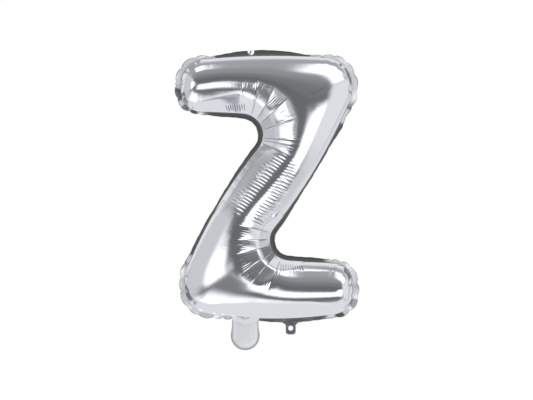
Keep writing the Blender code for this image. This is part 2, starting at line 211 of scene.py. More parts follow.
# Lobes that tilt away and look dark, darkened with painted shade, then stretches of the flat margin
# painted as pale as the lobes, a painted reflection: x, z and half width. Then small kinks where the
# flat margin lifts: x, z, how far at its edge, and the half width. The first kink also gets a painted glint.
PAINTED_SHADE_LOBES = ((-114, 116, 9), (-103, 99, 5.5), (-93, 92, 6), (113, -150, 7), (94, -167, 7), (83, -170, 4))
PAINTED_REFLECTION_STRETCHES = ((101, 89, 12), (67, 166, 13), (-71, 165.5, 8), (-97, -94, 8))
MARGIN_KINKS = ((-19, 166.5, 2.2, 4.5), (104, 96, 1, 6), (-72, -170, -1, 6))

# The tail's root lies inside the film. It widens over TAIL_WIDENING, and inside its rim each
# inset and rise swells it a little. Between the heights of TAIL_COLLAR the collar begins.
TAIL_ROOT = -158.0
TAIL_HALF_THICKNESS = 0.12
TAIL_WIDENING = 14.0
TAIL_INSETS = ((0.5, 0.28), (1.6, 0.3), (2.6, 0.25), (3.0, 0.1))
TAIL_COLLAR = (-177.0, -175.6)

# The tab's heights, the radii of its root's fillets and its corners, and its outline's points.
TAB_ROOT, TAB_HOLE, TAB_TIP = -173.6, -181.5, -189.5
TAB_FILLET, TAB_CORNER = 5.2, 3.8
TAB_POINTS = 80

# The studio as the film mirrors it. Cards are given by the bearing of their middle to the right
# of the camera and by their height above it, and arcs by the position angle of their middle round
# the camera, anticlockwise from the right, and by their angle from it. Then come half sizes, the
# softness of the edge (all in degrees) and the grey.
CARDS = (
    ("low strip", 17, -17.5, 33, 15, 6, 1.6),
)
ARCS = (
    ("behind", 0, 180, 400, 21, 9, 0.16),
    ("behind right", 28, 140, 20, 16, 8, 0.2),
    ("behind left", 208, 140, 20, 16, 8, 0.2),
    ("upper left shade", 126, 130, 18, 35, 6, 0.42),
    ("right wall", -4, 84, 26, 34, 8, 0.92),
    ("left wall", 176, 76, 28, 40, 8, 0.72),
    ("left shade", 232, 33, 26, 16, 6, 0.25),
    ("near left shade", 226, 11, 22, 7.5, 5, 0.22),
    ("lower left card", 246, 76, 22, 27, 8, 1.3),
    ("left card", 188, 37, 24, 15, 7, 1.6),
    ("right card", 342, 34, 18, 13, 7, 1.6),
    ("right softbox", 52, 74, 27, 19, 7, 1.7),
    ("left softbox", 107.5, 82, 8, 16, 5, 1.6),
    ("camera side", 0, 0, 400, 12, 6, 0.17),
)
# Greys of the studio's wall, ceiling and floor by their angle over the front, in degrees.
WALL_GREYS = ((-180, 0.86), (-72, 0.92), (-63, 0.70), (-54, 0.22), (-36, 0.16), (4, 0.16), (18, 0.22),
              (45, 0.34), (80, 0.42), (115, 0.44), (126, 0.82), (138, 0.93), (160, 0.97), (180, 0.86))
# The grey of the walls at the sides, and the brightness that the greys over 1 are given for.
SIDE_GREY = 0.6
FULL_BRIGHTNESS = 1.6


def unit(vectors):
    """Vectors made one long."""
    return vectors / np.linalg.norm(vectors, axis=-1, keepdims=True)


def eased(values, low, high):
    """Smooth steps from 0 at low to 1 at high."""
    part = np.clip((values - low) / (high - low), 0, 1)
    return part * part * (3 - 2 * part)


def between(values, low, full, last, high):
    """Smooth steps from 0 at low up to 1 at full, and from 1 at last down to 0 at high."""
    return eased(values, low, full) * (1 - eased(values, last, high))


def run_lengths(points):
    """How far along a line each of its points is."""
    return np.concatenate([[0.0], np.cumsum(np.linalg.norm(np.diff(points, axis=0), axis=1))])


def evenly(points, count=None):
    """Points at even steps round a closed loop: so many, or else about WELD_STEP apart."""
    closed = np.vstack([points, points[:1]])
    lengths = run_lengths(closed)
    count = count or int(round(lengths[-1] / WELD_STEP))
    even = np.linspace(0, lengths[-1], count + 1)[:-1]
    return np.stack([np.interp(even, lengths, closed[:, k]) for k in (0, 1)], axis=1)


def blurred_loop(values, step, width):
    """A running Gaussian average round a closed loop of even steps, width in mm."""
    waves = np.fft.fftfreq(len(values), step) * width
    return np.fft.ifft(np.fft.fft(values) * np.exp(-2 * (math.pi * waves) ** 2))


def rounded_outline():
    """The weld line as a closed clockwise loop of even steps, softened a little."""
    places = [np.array((x, z), float) for _, x, z, _, _ in CORNERS]
    arcs = []
    for i, (_, _, _, radius, _) in enumerate(CORNERS):
        here = places[i]
        to_before = unit(places[i - 1] - here)
        to_after = unit(places[(i + 1) % len(places)] - here)
        half_angle = math.acos(float(to_before @ to_after)) / 2
        centre = here + unit(to_before + to_after) * radius / math.sin(half_angle)
        start = here + to_before * radius / math.tan(half_angle) - centre
        convex = to_before[0] * to_after[1] - to_before[1] * to_after[0] > 0
        sweep = (math.pi - 2 * half_angle) * (-1 if convex else 1)
        count = max(2, int(abs(sweep) * radius / WELD_STEP))
        angles = math.atan2(start[1], start[0]) + sweep * np.arange(count + 1) / count
        arcs.append(centre + radius * np.stack([np.cos(angles), np.sin(angles)], axis=1))
    path = []
    for (_, _, _, _, bow), arc, after in zip(CORNERS, arcs, arcs[1:] + arcs[:1]):
        path.append(arc)
        run = after[0] - arc[-1]
        length = float(np.linalg.norm(run))
        if length < 2 * WELD_STEP:
            continue
        part = np.arange(1, int(length / WELD_STEP))[:, None] / int(length / WELD_STEP)
        outward = np.array((-run[1], run[0])) / length
        path.append(arc[-1] + run * part + outward * bow * 4 * part * (1 - part))
    x, z = evenly(np.concatenate(path)).T
    loop = blurred_loop(x + 1j * z, WELD_STEP, WELD_SOFTENING)
    return np.stack([loop.real, loop.imag], axis=1)


class Weld:
    """The weld line with its outward normals, and how strongly the film puckers along it."""

    def __init__(self):
        self.points = rounded_outline()
        along = np.roll(self.points, -1, axis=0) - np.roll(self.points, 1, axis=0)
        self.step = float(np.linalg.norm(along, axis=1).mean()) / 2
        along = unit(along)
        self.outward = np.stack([-along[:, 1], along[:, 0]], axis=1)
        self.count = len(self.points)
        heading = np.unwrap(np.arctan2(along[:, 1], along[:, 0]))
        turn = -(np.roll(heading, -1) - heading) / self.step
        turn[-1] = turn[-2]
        turn = self.blurred(turn, TURN_BLUR)
        along_bottom = (self.points < LOOSE_BOTTOM).all(axis=1)
        loose = np.where(along_bottom, 1, np.clip(turn * PUCKER_RADIUS, 0, 1))
        self.pucker = np.clip(self.blurred(loose, PUCKER_BLUR) * PUCKER_GAIN, 0, 1)
        self.tree = KDTree(self.count)
        for i, (x, z) in enumerate(self.points):
            self.tree.insert((x, z, 0), i)
        self.tree.balance()
        self.lobes = self.lobe_phase()

    def blurred(self, values, width):
        return blurred_loop(values, self.step, width).real

    def lobe_phase(self):
        """A phase that grows by one with each lobe of the margin, uneven as real ones are."""
        chance = np.random.default_rng(7)
        length = self.count * self.step
        cuts = [0.0]
        while cuts[-1] < length - LAST_LOBE:
            cuts.append(cuts[-1] + LOBE_PITCH * float(chance.uniform(*LOBE_SPREAD)))
        cuts.append(length)
        return np.interp(np.arange(self.count) * self.step, cuts, np.arange(len(cuts)))

    def nearest(self, x, z):
        return self.tree.find((x, z, 0))[1]

    def at(self, places):
        """Points at places counted in steps, which may be fractions or go round the loop."""
        low = np.floor(places).astype(int)
        part = (places - low)[:, None]
        return self.points[low % self.count] * (1 - part) + self.points[(low + 1) % self.count] * part

    def read(self, table, places, softness=0.5):
        """A table's columns after x and z, read at places along the weld and softened, in mm."""
        knots = np.array([self.nearest(row[0], row[1]) for row in table])
        order = np.argsort(knots)
        steps = np.arange(self.count)
        found = []
        for values in np.array(table)[order, 2:].T:
            loop = self.blurred(np.interp(steps, knots[order], values, period=self.count), softness)
            found.append(np.interp(places, steps, loop, period=self.count))
        return found


WELD = Weld()


def film_plan():
    """The film's mesh laid flat, as rows by columns, and where each row starts and ends on the weld."""
    upper, lower, ease = [], [], []
    last = len(ROWS) - 2
    for k, (row, after) in enumerate(zip(ROWS, ROWS[1:])):
        steps = row[4]
        part = np.arange(steps + (k == last)) / steps
        blend = np.ones_like(part)
        if k == 0:
            blend, part = part, part ** END_CROWDING
        if k == last:
            blend, part = 1 - part, 1 - (1 - part) ** END_CROWDING
        a, b = WELD.nearest(*row[0:2]), WELD.nearest(*after[0:2])
        upper.append(a + ((b - a) % WELD.count) * part)
        a, b = WELD.nearest(*row[2:4]), WELD.nearest(*after[2:4])
        lower.append(a - ((a - b) % WELD.count) * part)
        ease.append(blend)
    upper, lower, ease = np.concatenate(upper), np.concatenate(lower), np.concatenate(ease)
    even = np.linspace(-1, 1, ACROSS + 1)[None, :]
    across = even + (np.sin(even * math.pi / 2) - even) * np.sqrt(ease)[:, None]
    low, high = WELD.at(lower), WELD.at(upper)
    plan = low[:, None] + (high - low)[:, None] * ((across + 1) / 2)[..., None]
    return plan, lower % WELD.count, upper % WELD.count


def inflated(plan):
    """Half depth of the swollen film: the root of a membrane's sag under even pressure.

    A long bar comes out round, a free end rounds off, and a wide corner swells further.
    The sag is solved on the plan's own mesh, with two triangles to a cell, by conjugate
    gradients. Each point pulls on its neighbours beside, below and at a slant.
    """
    own, load, inside = np.zeros((3, *plan.shape[:2]))
    inside[1:-1, 1:-1] = 1
    beside, below, slant = own[:, 1:].copy(), own[1:].copy(), own[1:, 1:].copy()
    a, b, c, d = plan[:-1, :-1], plan[:-1, 1:], plan[1:, 1:], plan[1:, :-1]

    def shares(p, q, r):
        """A triangle's area and the pull across from each of its corners."""
        u, v, w = r - q, p - r, q - p
        area = np.abs(u[..., 0] * v[..., 1] - u[..., 1] * v[..., 0]) / 2 + 1e-9
        return area, (v * w).sum(-1) / (4 * area), (w * u).sum(-1) / (4 * area), (u * v).sum(-1) / (4 * area)

    area, qr, rp, pq = shares(a, b, c)
    beside[:-1] += pq
    below[:, 1:] += qr
    slant += rp
    for corner in (load[:-1, :-1], load[:-1, 1:], load[1:, 1:]):
        corner += area / 3
    area, qr, rp, pq = shares(a, c, d)
    slant += pq
    beside[1:] += qr
    below[:, :-1] += rp
    for corner in (load[:-1, :-1], load[1:, 1:], load[1:, :-1]):
        corner += area / 3
    pairs = (
        (beside, np.s_[:, :-1], np.s_[:, 1:]),
        (below, np.s_[:-1], np.s_[1:]),
        (slant, np.s_[:-1, :-1], np.s_[1:, 1:]),
    )
    for weight, here, there in pairs:
        own[here] -= weight
        own[there] -= weight

    def pull(sag):
        out = own * sag
        for weight, here, there in pairs:
            out[here] += weight * sag[there]
            out[there] += weight * sag[here]
        return out * inside

    sag = np.zeros_like(own)
    left = 2 * load * inside
    way = left / own * inside
    strength = float((left * way).sum())
    goal = strength * SOLVED
    for _ in range(MOST_PASSES):
        pulled = pull(way)
        step = strength / float((way * pulled).sum())
        sag += step * way
        left -= step * pulled
        scaled = left / own * inside
        after = float((left * scaled).sum())
        if after < goal:
            break
        way = scaled + way * (after / strength)
        strength = after
    return np.sqrt(np.clip(sag, 0, None))


def even_depth(plan, swell, settings):
    """The swell with bars of even depth up to blunt ends, and with the wide corners held back."""
    crest = swell.max(axis=1)
    middle = plan.mean(axis=1)
    tip = np.minimum(*[np.linalg.norm(middle - middle[end], axis=1) for end in (0, -1)])
    near = np.clip(tip * MM / settings.end_reach, 0, 1)
    level = settings.bar_depth / MM * (1 - TIP_TAPER * np.clip(1 - tip / TIP_REACH, 0, 1) ** 2)
    extra = CORNER_SOFTNESS * np.log1p(np.exp((crest - level) / CORNER_SOFTNESS)) * (1 - settings.corner_give)
    ratio = (level * np.sqrt(1 - (1 - near) ** 2) + extra * near) / np.clip(crest, 1e-6, None)
    ratio[0], ratio[-1] = ratio[1], ratio[-2]
    run = run_lengths(middle)
    share = np.exp(-((run[:, None] - run[None, :]) / DEPTH_BLUR) ** 2 / 2) * np.gradient(run)[None, :]
    return swell * ((share @ ratio) / share.sum(axis=1))[:, None]


def soft_lower(first, second):
    """The lower of two heights, rounded where they cross."""
    return -FOLD_SOFTNESS * np.logaddexp(-first / FOLD_SOFTNESS, -second / FOLD_SOFTNESS)


def folded(plan, swell, places, table):
    """The swell with its side next to the first column pulled into flat facets between folds."""
    first, second = WELD.read(table, places, FOLD_BLUR)
    away = np.linalg.norm(plan - plan[:, :1], axis=2)
    out = swell.copy()
    for row in range(len(plan)):
        inner, outer = first[row], second[row]
        if inner < LEAST_FOLD:
            continue
        top = np.interp([inner, outer], away[row], swell[row])
        flat = top[0] / inner * away[row]
        if outer - inner > LEAST_FACET:
            flat = soft_lower(flat, top[0] + (top[1] - top[0]) / (outer - inner) * (away[row] - inner))
        half = away[row] < away[row, -1] / 2 + FOLDS_PAST_MIDDLE
        out[row, half] = soft_lower(swell[row], flat)[half]
    return out


def crest_moved(plan, swell, places):
    """The swell with the crest of each row moved off the middle, by CREST_SHIFTS."""
    (shift,) = WELD.read(CREST_SHIFTS, places, CREST_BLUR)
    away = np.linalg.norm(plan - plan[:, :1], axis=2)
    out = swell.copy()
    for row in range(1, len(plan) - 1):
        part = away[row] / away[row, -1]
        out[row] = np.interp(away[row] - shift[row] * np.sin(math.pi * part), away[row], swell[row])
    return out


def from_bend(x, z, middle_x, middle_z):
    """How far places are from a bend's middle, and their bearings from it in degrees."""
    return np.hypot(x - middle_x, z - middle_z), np.degrees(np.arctan2(z - middle_z, x - middle_x))


def from_line(x, z, start, way):
    """How far places are along and beside a line from its start, and the line's length."""
    length = math.hypot(*way)
    along = ((x - start[0]) * way[0] + (z - start[1]) * way[1]) / length
    return along, np.abs((x - start[0]) * way[1] - (z - start[1]) * way[0]) / length, length


def fan_depth(x, z):
    """How far the film dips at the creases between a fan's facets, in mm, and where they run, the mask of
    their painted shade.

    The film's long way round the bend is hollow there, so a dip that grows with the square of
    the distance from each facet's middle leaves the facets flat.
    """
    depth, shade_lines = np.zeros_like(x), np.zeros_like(x)
    for middle, creases in FANS:
        reach, bearing = from_bend(x, z, *middle)
        out = np.clip((reach - FAN_REACHES[0]) / (FAN_REACHES[1] - FAN_REACHES[0]), -0.3, 1.6)
        turns = [(near + (far - near) * out - bearing + 180) % 360 - 180 for near, far in creases]
        fade = between(reach, FAN_START - 4, FAN_START + 10, FAN_END - 24, FAN_END)
        for turn, after in zip(turns, turns[1:]):
            part = np.clip(turn / (turn - after), 0, 1)
            inside = (turn >= 0) & (after < 0)
            depth += inside * fade * reach * np.radians(turn - after) ** 2 / 8 * (2 * part - 1) ** 2
        for turn, wide in ((-turns[0], turns[0] - turns[1]), (turns[-1], turns[-2] - turns[-1])):
            part = np.clip(turn / (wide / 2), 0, 1)
            outside = (turn >= 0) & (turn < 90)
            depth += outside * fade * reach * np.radians(wide) ** 2 / 8 * (1 - part) ** 2
        fade = between(reach, FAN_START, FAN_START + 4, FAN_END - 12, FAN_END + 4)
        for turn in turns:
            aside = np.abs(np.radians(turn)) * reach
            depth += LINE_DEPTH * fade * np.exp(-aside / LINE_WIDTH)
            shade_lines += fade * np.exp(-(aside / LINE_SHADE_HALF_WIDTH) ** 2)
    return depth, shade_lines


def crease_depth(x, z):
    """Single creases, as grooves with a sharp bottom."""
    depth = np.zeros_like(x)
    for x1, z1, x2, z2, deep, wide in CREASES:
        along, aside, length = from_line(x, z, (x1, z1), (x2 - x1, z2 - z1))
        fade = between(along, -3, 3, 0.5 * length, 1.05 * length)
        depth += deep * fade * np.exp(-aside / wide)
    return depth


def stroke_depth(x, z, chance):
    """Short creases in rows: how deep they are, and where they run, the mask of their painted shade."""
    depth, shade_lines = np.zeros_like(x), np.zeros_like(x)
    for x1, z1, x2, z2, count, dx1, dz1, dx2, dz2 in STROKES:
        for part in np.arange(count) / (count - 1):
            size = float(chance.uniform(0.8, 1.1))
            head = (x1 + (x2 - x1) * part, z1 + (z2 - z1) * part + float(chance.uniform(-0.5, 0.5)))
            way = ((dx1 + (dx2 - dx1) * part) * size, (dz1 + (dz2 - dz1) * part) * size)
            along, aside, length = from_line(x, z, head, way)
            fade = size * between(along, -1, 1.5, length - 1.5, length + 1)
            depth += LINE_DEPTH * fade * np.exp(-aside / LINE_WIDTH)
            shade_lines += fade * np.exp(-(aside / LINE_WIDTH) ** 2)
    return depth, shade_lines


def wrinkle_depth(x, z, chance):
    """Short fine wrinkles over the crest of each inner bend, each with a reach of its own."""
    depth = np.zeros_like(x)
    for middle_x, middle_z, first, last, deep in WRINKLED_BENDS:
        reach, bearing = from_bend(x, z, middle_x, middle_z)
        behind = (first - bearing) % 360
        turn = np.where(behind > 300, behind - 360, behind)
        count = int((first - last) / WRINKLE_PITCH_DEGREES)
        place = turn / WRINKLE_PITCH_DEGREES + 0.16 * np.sin(turn * 0.31) + 0.1 * np.sin(turn * 0.83 + 1)
        index = np.clip(np.round(place).astype(int), 0, count)
        widening = np.clip(np.arange(count + 1) / (0.35 * count), 0, 1)
        inner = 45 + 4 * widening + chance.uniform(0, 11, count + 1)
        outer = np.minimum(inner + chance.uniform(8, 16, count + 1), 62 + 11 * widening)
        size = deep * chance.uniform(0.35, 1.25, count + 1)
        size[[0, 1, -2, -1]] *= 0.4
        inner, outer = inner[index], outer[index]
        fade = between(reach, inner, inner + 5, outer - 5, outer + 1)
        fade = fade * ((place > -0.5) & (place < count + 0.5))
        depth += size[index] * fade * (1 - np.abs(np.sin(math.pi * place))) ** 1.3
    return depth


def rib_depth(x, z, chance, settings):
    """Fine parallel ribs across the diagonal, each along rows of the mesh, which are parallel there."""
    ux, uz = math.sin(RIB_BEARING), math.cos(RIB_BEARING)
    along = ((x - RIB_MIDDLE[0]) * ux + (z - RIB_MIDDLE[1]) * uz).mean(axis=1, keepdims=True) + 0 * x
    across = (x - RIB_MIDDLE[0]) * uz - (z - RIB_MIDDLE[1]) * ux
    pitch = settings.rib_pitch / MM
    place = (along + 0.5 * np.sin(along * 0.21)) / pitch
    index = np.round(place).astype(int)
    low = int(index.min())
    count = int(index.max()) - low + 1
    table = np.array(RIB_REACH)
    centres = (np.arange(count) + low) * pitch
    at = index - low
    left, right = [(np.interp(centres, table[:, 0], table[:, k]) + chance.uniform(-3, 3, count))[at]
                   for k in (1, 2)]
    size = chance.uniform(0.65, 1.15, count) * settings.rib_depth / MM
    size *= (centres > table[0, 0]) & (centres < table[-1, 0])
    fade = between(across, left - 2, left + 6, right - 6, right + 2)
    aside = across - RIB_CREST[0] - RIB_CREST[1] * along
    fade = fade * eased(np.abs(aside), *RIB_RISE) * np.where(aside > 0, RIGHT_RIBS, 1.0)
    return size[at] * fade * (1 - np.abs(np.sin(math.pi * place)))


def pucker_depth(x, z, settings):
    """Radial puckers that run in from the margin's notches, and each place's distance from the weld."""
    near = np.array([WELD.tree.find((px, pz, 0))[1:] for px, pz in zip(x.ravel(), z.ravel())])
    index = near[:, 0].astype(int).reshape(x.shape)
    away = near[:, 1].reshape(x.shape)
    notch = 1 - np.abs(np.sin(math.pi * WELD.lobes[index]))
    return settings.pucker_depth / MM * WELD.pucker[index] * notch ** 1.5 * np.exp(-away / PUCKER_REACH), away


def film_side(plan, swell, settings, seed):
    """One sheet's points in mm, its creases pressed in along the normals, and where they run, the mask of
    their painted shade.
    """
    chance = np.random.default_rng(seed)
    x, z = plan[..., 0], plan[..., 1]
    places = np.stack([x, -swell, z], axis=-1)
    normals = np.cross(np.gradient(places, axis=0), np.gradient(places, axis=1))
    normals /= np.linalg.norm(normals, axis=-1)[..., None] + 1e-12
    normals *= np.where(normals[..., 1:2] > 0, -1, 1)
    puckers, away = pucker_depth(x, z, settings)
    fans, fan_shade_lines = fan_depth(x, z)
    strokes, stroke_shade_lines = stroke_depth(x, z, chance)
    depth = fans + crease_depth(x, z) + wrinkle_depth(x, z, chance) + strokes
    depth = settings.crease_depth * depth + rib_depth(x, z, chance, settings)
    depth = depth * eased(away, 0, 3) + puckers * eased(swell, 0, 4)
    return places - normals * depth[..., None], np.clip(fan_shade_lines + stroke_shade_lines, 0, 1)


def finished(name, made):
    """A mesh from a bmesh, which is freed."""
    mesh = bpy.data.meshes.new(name)
    made.to_mesh(mesh)
    made.free()
    return mesh


def grid_mesh(name, places, **values):
    """A mesh sheet of rows by columns, from a bmesh grid whose points are then moved.

    Each named array of values, of the same rows and columns, becomes an attribute.
    """
    rows, columns = places.shape[:2]
    made = bmesh.new()
    bmesh.ops.create_grid(made, x_segments=columns - 1, y_segments=rows - 1, size=0.5)
    mesh = finished(name, made)
    flat = np.empty(len(mesh.vertices) * 3, np.float32)
    mesh.vertices.foreach_get("co", flat)
    flat = flat.reshape(-1, 3)
    column = np.round((flat[:, 0] + 0.5) * (columns - 1)).astype(int)
    row = np.round((flat[:, 1] + 0.5) * (rows - 1)).astype(int)
    mesh.vertices.foreach_set("co", (places[row, column] * MM).astype(np.float32).ravel())
    for label, table in values.items():
        attribute = mesh.attributes.new(label, "FLOAT", "POINT")
        attribute.data.foreach_set("value", table[row, column].astype(np.float32))
    mesh.update()
    return mesh


def closed_up(mesh):
    """Merges the points that meet along seams, and turns all faces outwards."""
    made = bmesh.new()
    made.from_mesh(mesh)
    bmesh.ops.remove_doubles(made, verts=made.verts, dist=SEAM_GAP * MM)
    bmesh.ops.dissolve_degenerate(made, edges=made.edges, dist=LEAST_EDGE * MM)
    bmesh.ops.recalc_face_normals(made, faces=made.faces)
    made.to_mesh(mesh)
    made.free()


def placed(name, data, place=(0, 0, 0), turn=(0, 0, 0)):
    """A new object in the scene."""
    obj = bpy.data.objects.new(name, data)
    obj.location = place
    obj.rotation_euler = turn
    bpy.context.scene.collection.objects.link(obj)
    return obj


def piece(mesh, material, slot, *nodes):
    """Puts a finished mesh in the scene, riding on the balloon in place of its CAD nodes."""
    mesh.materials.append(material)
    mesh.shade_smooth()
    obj = placed(mesh.name, mesh)
    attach(obj, "root")
    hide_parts(*nodes)
    return obj


def flat_piece(mesh, material, slot, node, thickness=0.0):
    """A piece in the weld's plane, which the mirror film doesn't show, with walls if asked."""
    obj = piece(mesh, material, slot, node)
    obj.visible_glossy = False
    if thickness:
        wall = obj.modifiers.new("Two welded layers", "SOLIDIFY")
        wall.thickness = thickness
        wall.offset = 0


def feed(tree, target, inputs):
    """Gives a node's inputs plain values, or links them to other nodes' outputs."""
    for socket, value in inputs.items():
        if isinstance(value, bpy.types.NodeSocket):
            tree.links.new(value, target.inputs[socket])
        else:
            target.inputs[socket].default_value = value


def add(tree, kind, inputs=None, **settings):
    """A new shader node with its settings and inputs."""
    made = tree.nodes.new("ShaderNode" + kind)
    for name, value in settings.items():
        setattr(made, name, value)
    feed(tree, made, inputs or {})
    return made


def calc(tree, operation, *values):
    """The output of a math node."""
    return add(tree, "Math", dict(enumerate(values)), operation=operation).outputs[0]


def ramp(tree, value, low, high, first=0.0, last=1.0, smooth=False):
    """An output that goes from the first value to the last as another goes from low to high."""
    span = {"Value": value, "From Min": low, "From Max": high, "To Min": first, "To Max": last}
    kind = "SMOOTHSTEP" if smooth else "LINEAR"
    return add(tree, "MapRange", span, interpolation_type=kind).outputs["Result"]


def noise(tree, place, scale, detail, roughness=0.5):
    given = {"Vector": place, "Scale": scale, "Detail": detail, "Roughness": roughness}
    return add(tree, "TexNoise", given).outputs["Fac"]


def attribute_value(tree, name):
    return add(tree, "Attribute", attribute_name=name).outputs["Fac"]


def two_tone(tree, part, first, second):
    """The output of a mix between two colours."""
    made = add(tree, "Mix", {0: part}, data_type="RGBA")
    sides = [k for k, socket in enumerate(made.inputs) if socket.type == "RGBA"]
    feed(tree, made, dict(zip(sides, (first, second))))
    return [socket for socket in made.outputs if socket.type == "RGBA"][0]


def shaded(colour, share=1.0):
    """A colour made darker or lighter, with its alpha."""
    return (*[min(1, share * part) for part in colour], 1)


def new_material(name):
    material = bpy.data.materials.new(name)
    material.use_nodes = True
    tree = material.node_tree
    return material, tree, tree.nodes["Principled BSDF"]


def film_grain():
    """A node group: how mirror film varies. Puts out a roughness and a bump height."""
    name = "Film grain"
    if name in bpy.data.node_groups:
        return bpy.data.node_groups[name]
    group = bpy.data.node_groups.new(name, "ShaderNodeTree")
    for way, labels in (("INPUT", ("Roughness", "Crinkle")), ("OUTPUT", ("Roughness", "Height"))):
        for label in labels:
            group.interface.new_socket(label, in_out=way, socket_type="NodeSocketFloat")
    given, put = group.nodes.new("NodeGroupInput"), group.nodes.new("NodeGroupOutput")
    place = add(group, "TexCoord").outputs["Object"]
    haze = ramp(group, noise(group, place, 55, 3), 0.3, 0.75, -0.015, 0.03)
    crinkle = calc(group, "MULTIPLY_ADD", noise(group, place, 70, 2), 2.2, noise(group, place, 320, 4, 0.6))
    feed(group, put, {"Roughness": calc(group, "ADD", given.outputs["Roughness"], haze),
                      "Height": calc(group, "MULTIPLY", crinkle, given.outputs["Crinkle"])})
    return group


def grained(tree, shader, roughness, crinkle, height=0.03 * MM):
    """Feeds the film's grain to a shader's roughness and, as a bump, to its normal."""
    grain = add(tree, "Group", {"Roughness": roughness, "Crinkle": crinkle}, node_tree=film_grain())
    bump = add(tree, "Bump", {"Distance": height, "Height": grain.outputs["Height"]})
    feed(tree, shader, {"Roughness": grain.outputs["Roughness"], "Normal": bump.outputs["Normal"]})


def envelope_material(settings):
    """Near mirror film, with painted shade: a darker colour in the bottom of its sharp creases."""
    material, tree, shader = new_material("Silver foil")
    crease = attribute_value(tree, "crease")
    # The crease mask mixes in a darker copy of the foil colour: painted shade along the creases.
    colour = two_tone(tree, crease, shaded(settings.colour), shaded(settings.crease_shade_colour))
    feed(tree, shader, {"Base Color": colour, "Metallic": 1.0})
    grained(tree, shader, settings.roughness, 1.0)
    return material


def margin_material(settings):
    """The welded margin: mirror film where it is flat, dull and milky where it puckers, with painted light
    and shade mixed into its colour.
    """
    material, tree, shader = new_material("Margin foil")
    pucker, tone = attribute_value(tree, "pucker"), attribute_value(tree, "tone")
    # The less metallic, milky parts follow the puckers and the painted light of the tone.
    milky = calc(tree, "MULTIPLY", pucker, tone)
    # Painted light and shade: the tone mixes a shaded copy of the margin colour, at 0.3, with a lit one, at
    # 1.2.
    colour = two_tone(tree, tone, shaded(settings.colour, 0.3), shaded(settings.colour, 1.2))
    feed(tree, shader, {"Base Color": colour, "Metallic": ramp(tree, milky, 0, 1, 1.0, 0.4)})
    grained(tree, shader, ramp(tree, pucker, 0, 1, 0.10, 0.27), ramp(tree, pucker, 0, 1, 0.5, 0.2))
    return material


def tail_material(settings):
    """Satin pale film with a darker welded rim, and a lighter foil collar over its root."""
    material, tree, shader = new_material("Tail film")
    place = add(tree, "TexCoord").outputs["Object"]
    haze = ramp(tree, noise(tree, place, 90, 4), 0.3, 0.7)
    colour = two_tone(tree, haze, shaded(settings.colour, 0.93), shaded(settings.colour))
    x, _, z = add(tree, "SeparateXYZ", {0: place}).outputs
    aside = calc(tree, "ABSOLUTE", calc(tree, "SUBTRACT", x, settings.place))
    below = calc(tree, "MINIMUM", calc(tree, "SUBTRACT", z, settings.bulb_height), 0)
    squares = calc(tree, "ADD", calc(tree, "POWER", aside, 2), calc(tree, "POWER", below, 2))
    from_middle = calc(tree, "SQRT", squares)
    edge = settings.bulb_radius
    rim = ramp(tree, from_middle, edge - settings.rim_width - 1.2 * MM, edge - 0.9 * MM, smooth=True)
    colour = two_tone(tree, rim, colour, shaded(settings.colour, 0.46))
    height = calc(tree, "ADD", z, calc(tree, "MULTIPLY", aside, -0.3))
    collar = ramp(tree, height, *[end * MM for end in TAIL_COLLAR], smooth=True)
    colour = two_tone(tree, collar, colour, (0.95, 0.955, 0.965, 1))
    feed(tree, shader, {"Base Color": colour, "Metallic": 0.1})
    grained(tree, shader, 0.34, 2.5, 0.04 * MM)
    return material


def tab_material(settings):
    material, tree, shader = new_material("Tab foil")
    # Painted shade: the tab's foil gets a dark colour for the dark that its flat face mirrors.
    feed(tree, shader, {"Base Color": shaded(settings.colour), "Metallic": 1.0})
    grained(tree, shader, 0.2, 3.0)
    return material


def floor_material():
    """A pale matt floor that fades out towards its rim."""
    material, tree, shader = new_material("Pale floor")
    place = add(tree, "TexCoord").outputs["Object"]
    length = add(tree, "VectorMath", {0: place}, operation="LENGTH").outputs["Value"]
    feed(tree, shader, {"Base Color": (0.86, 0.86, 0.87, 1), "Roughness": 0.7,
                        "Alpha": ramp(tree, length, 2.9, 1.2, smooth=True)})
    return material


def size_of(name, description, default, low, high):
    """A length property, from values in mm."""
    return FloatProperty(name=name, description=description, default=default * MM, min=low * MM,
                         max=high * MM, subtype="DISTANCE", unit="LENGTH", precision=5)


def share_of(name, description, default, low=0.0, high=1.0):
    return FloatProperty(name=name, description=description, default=default, min=low, max=high)


def colour_of(name, description, default):
    return FloatVectorProperty(name=name, description=description, default=default, size=3, min=0.0, max=1.0,
                               subtype="COLOR")


class FilmSettings(bpy.types.PropertyGroup):
    crease_depth: share_of("Crease depth", "Depth of the long creases, as a share of their tables' depths",
                           1.0, high=2.0)
    rib_depth: size_of("Rib depth", "Height of the fine ribs across the diagonal", 0.62, 0, 1.5)
    rib_pitch: size_of("Rib pitch", "Distance from one rib of the diagonal to the next", 4.4, 1.5, 10)
    pucker_depth: size_of("Pucker depth", "Depth of the puckers at free ends and outer corners", 1.6, 0, 4)
    corner_give: share_of("Corner give", "Share of the extra swell that the wide corners hold back", 0.65)
    bar_depth: size_of("Bar half depth", "Half depth above which a corner counts as wide", 36.5, 20, 60)
    end_reach: size_of("End rounding", "How far from its tip a free end reaches its full depth", 17, 5, 60)
    colour: colour_of("Foil colour", "Colour of the mirror film", (0.80, 0.81, 0.84))
    # Painted shade: a dark colour that the film takes along its sharp creases.
    crease_shade_colour: colour_of("Painted crease shade", "Painted shade in the bottom of the film's sharp creases",
                             (0.30, 0.31, 0.34))
    roughness: share_of("Foil roughness", "Roughness of the mirror film", 0.11)


class MarginSettings(bpy.types.PropertyGroup):
    width: share_of("Margin width", "Width of the welded margin, as a share of its table's widths",
                    1.0, 0.3, 2.0)
    lobe_depth: size_of("Lobe depth", "How deep the notches between the puckered lobes are", 2.4, 0, 6)
    wave: size_of("Wave", "How far puckered lobes stand out of the weld's plane", 1.1, 0, 5)
    thickness: size_of("Thickness", "Thickness of the two welded layers", 0.25, 0.05, 2)
    colour: colour_of("Margin colour", "Colour of the welded film", (0.78, 0.79, 0.82))


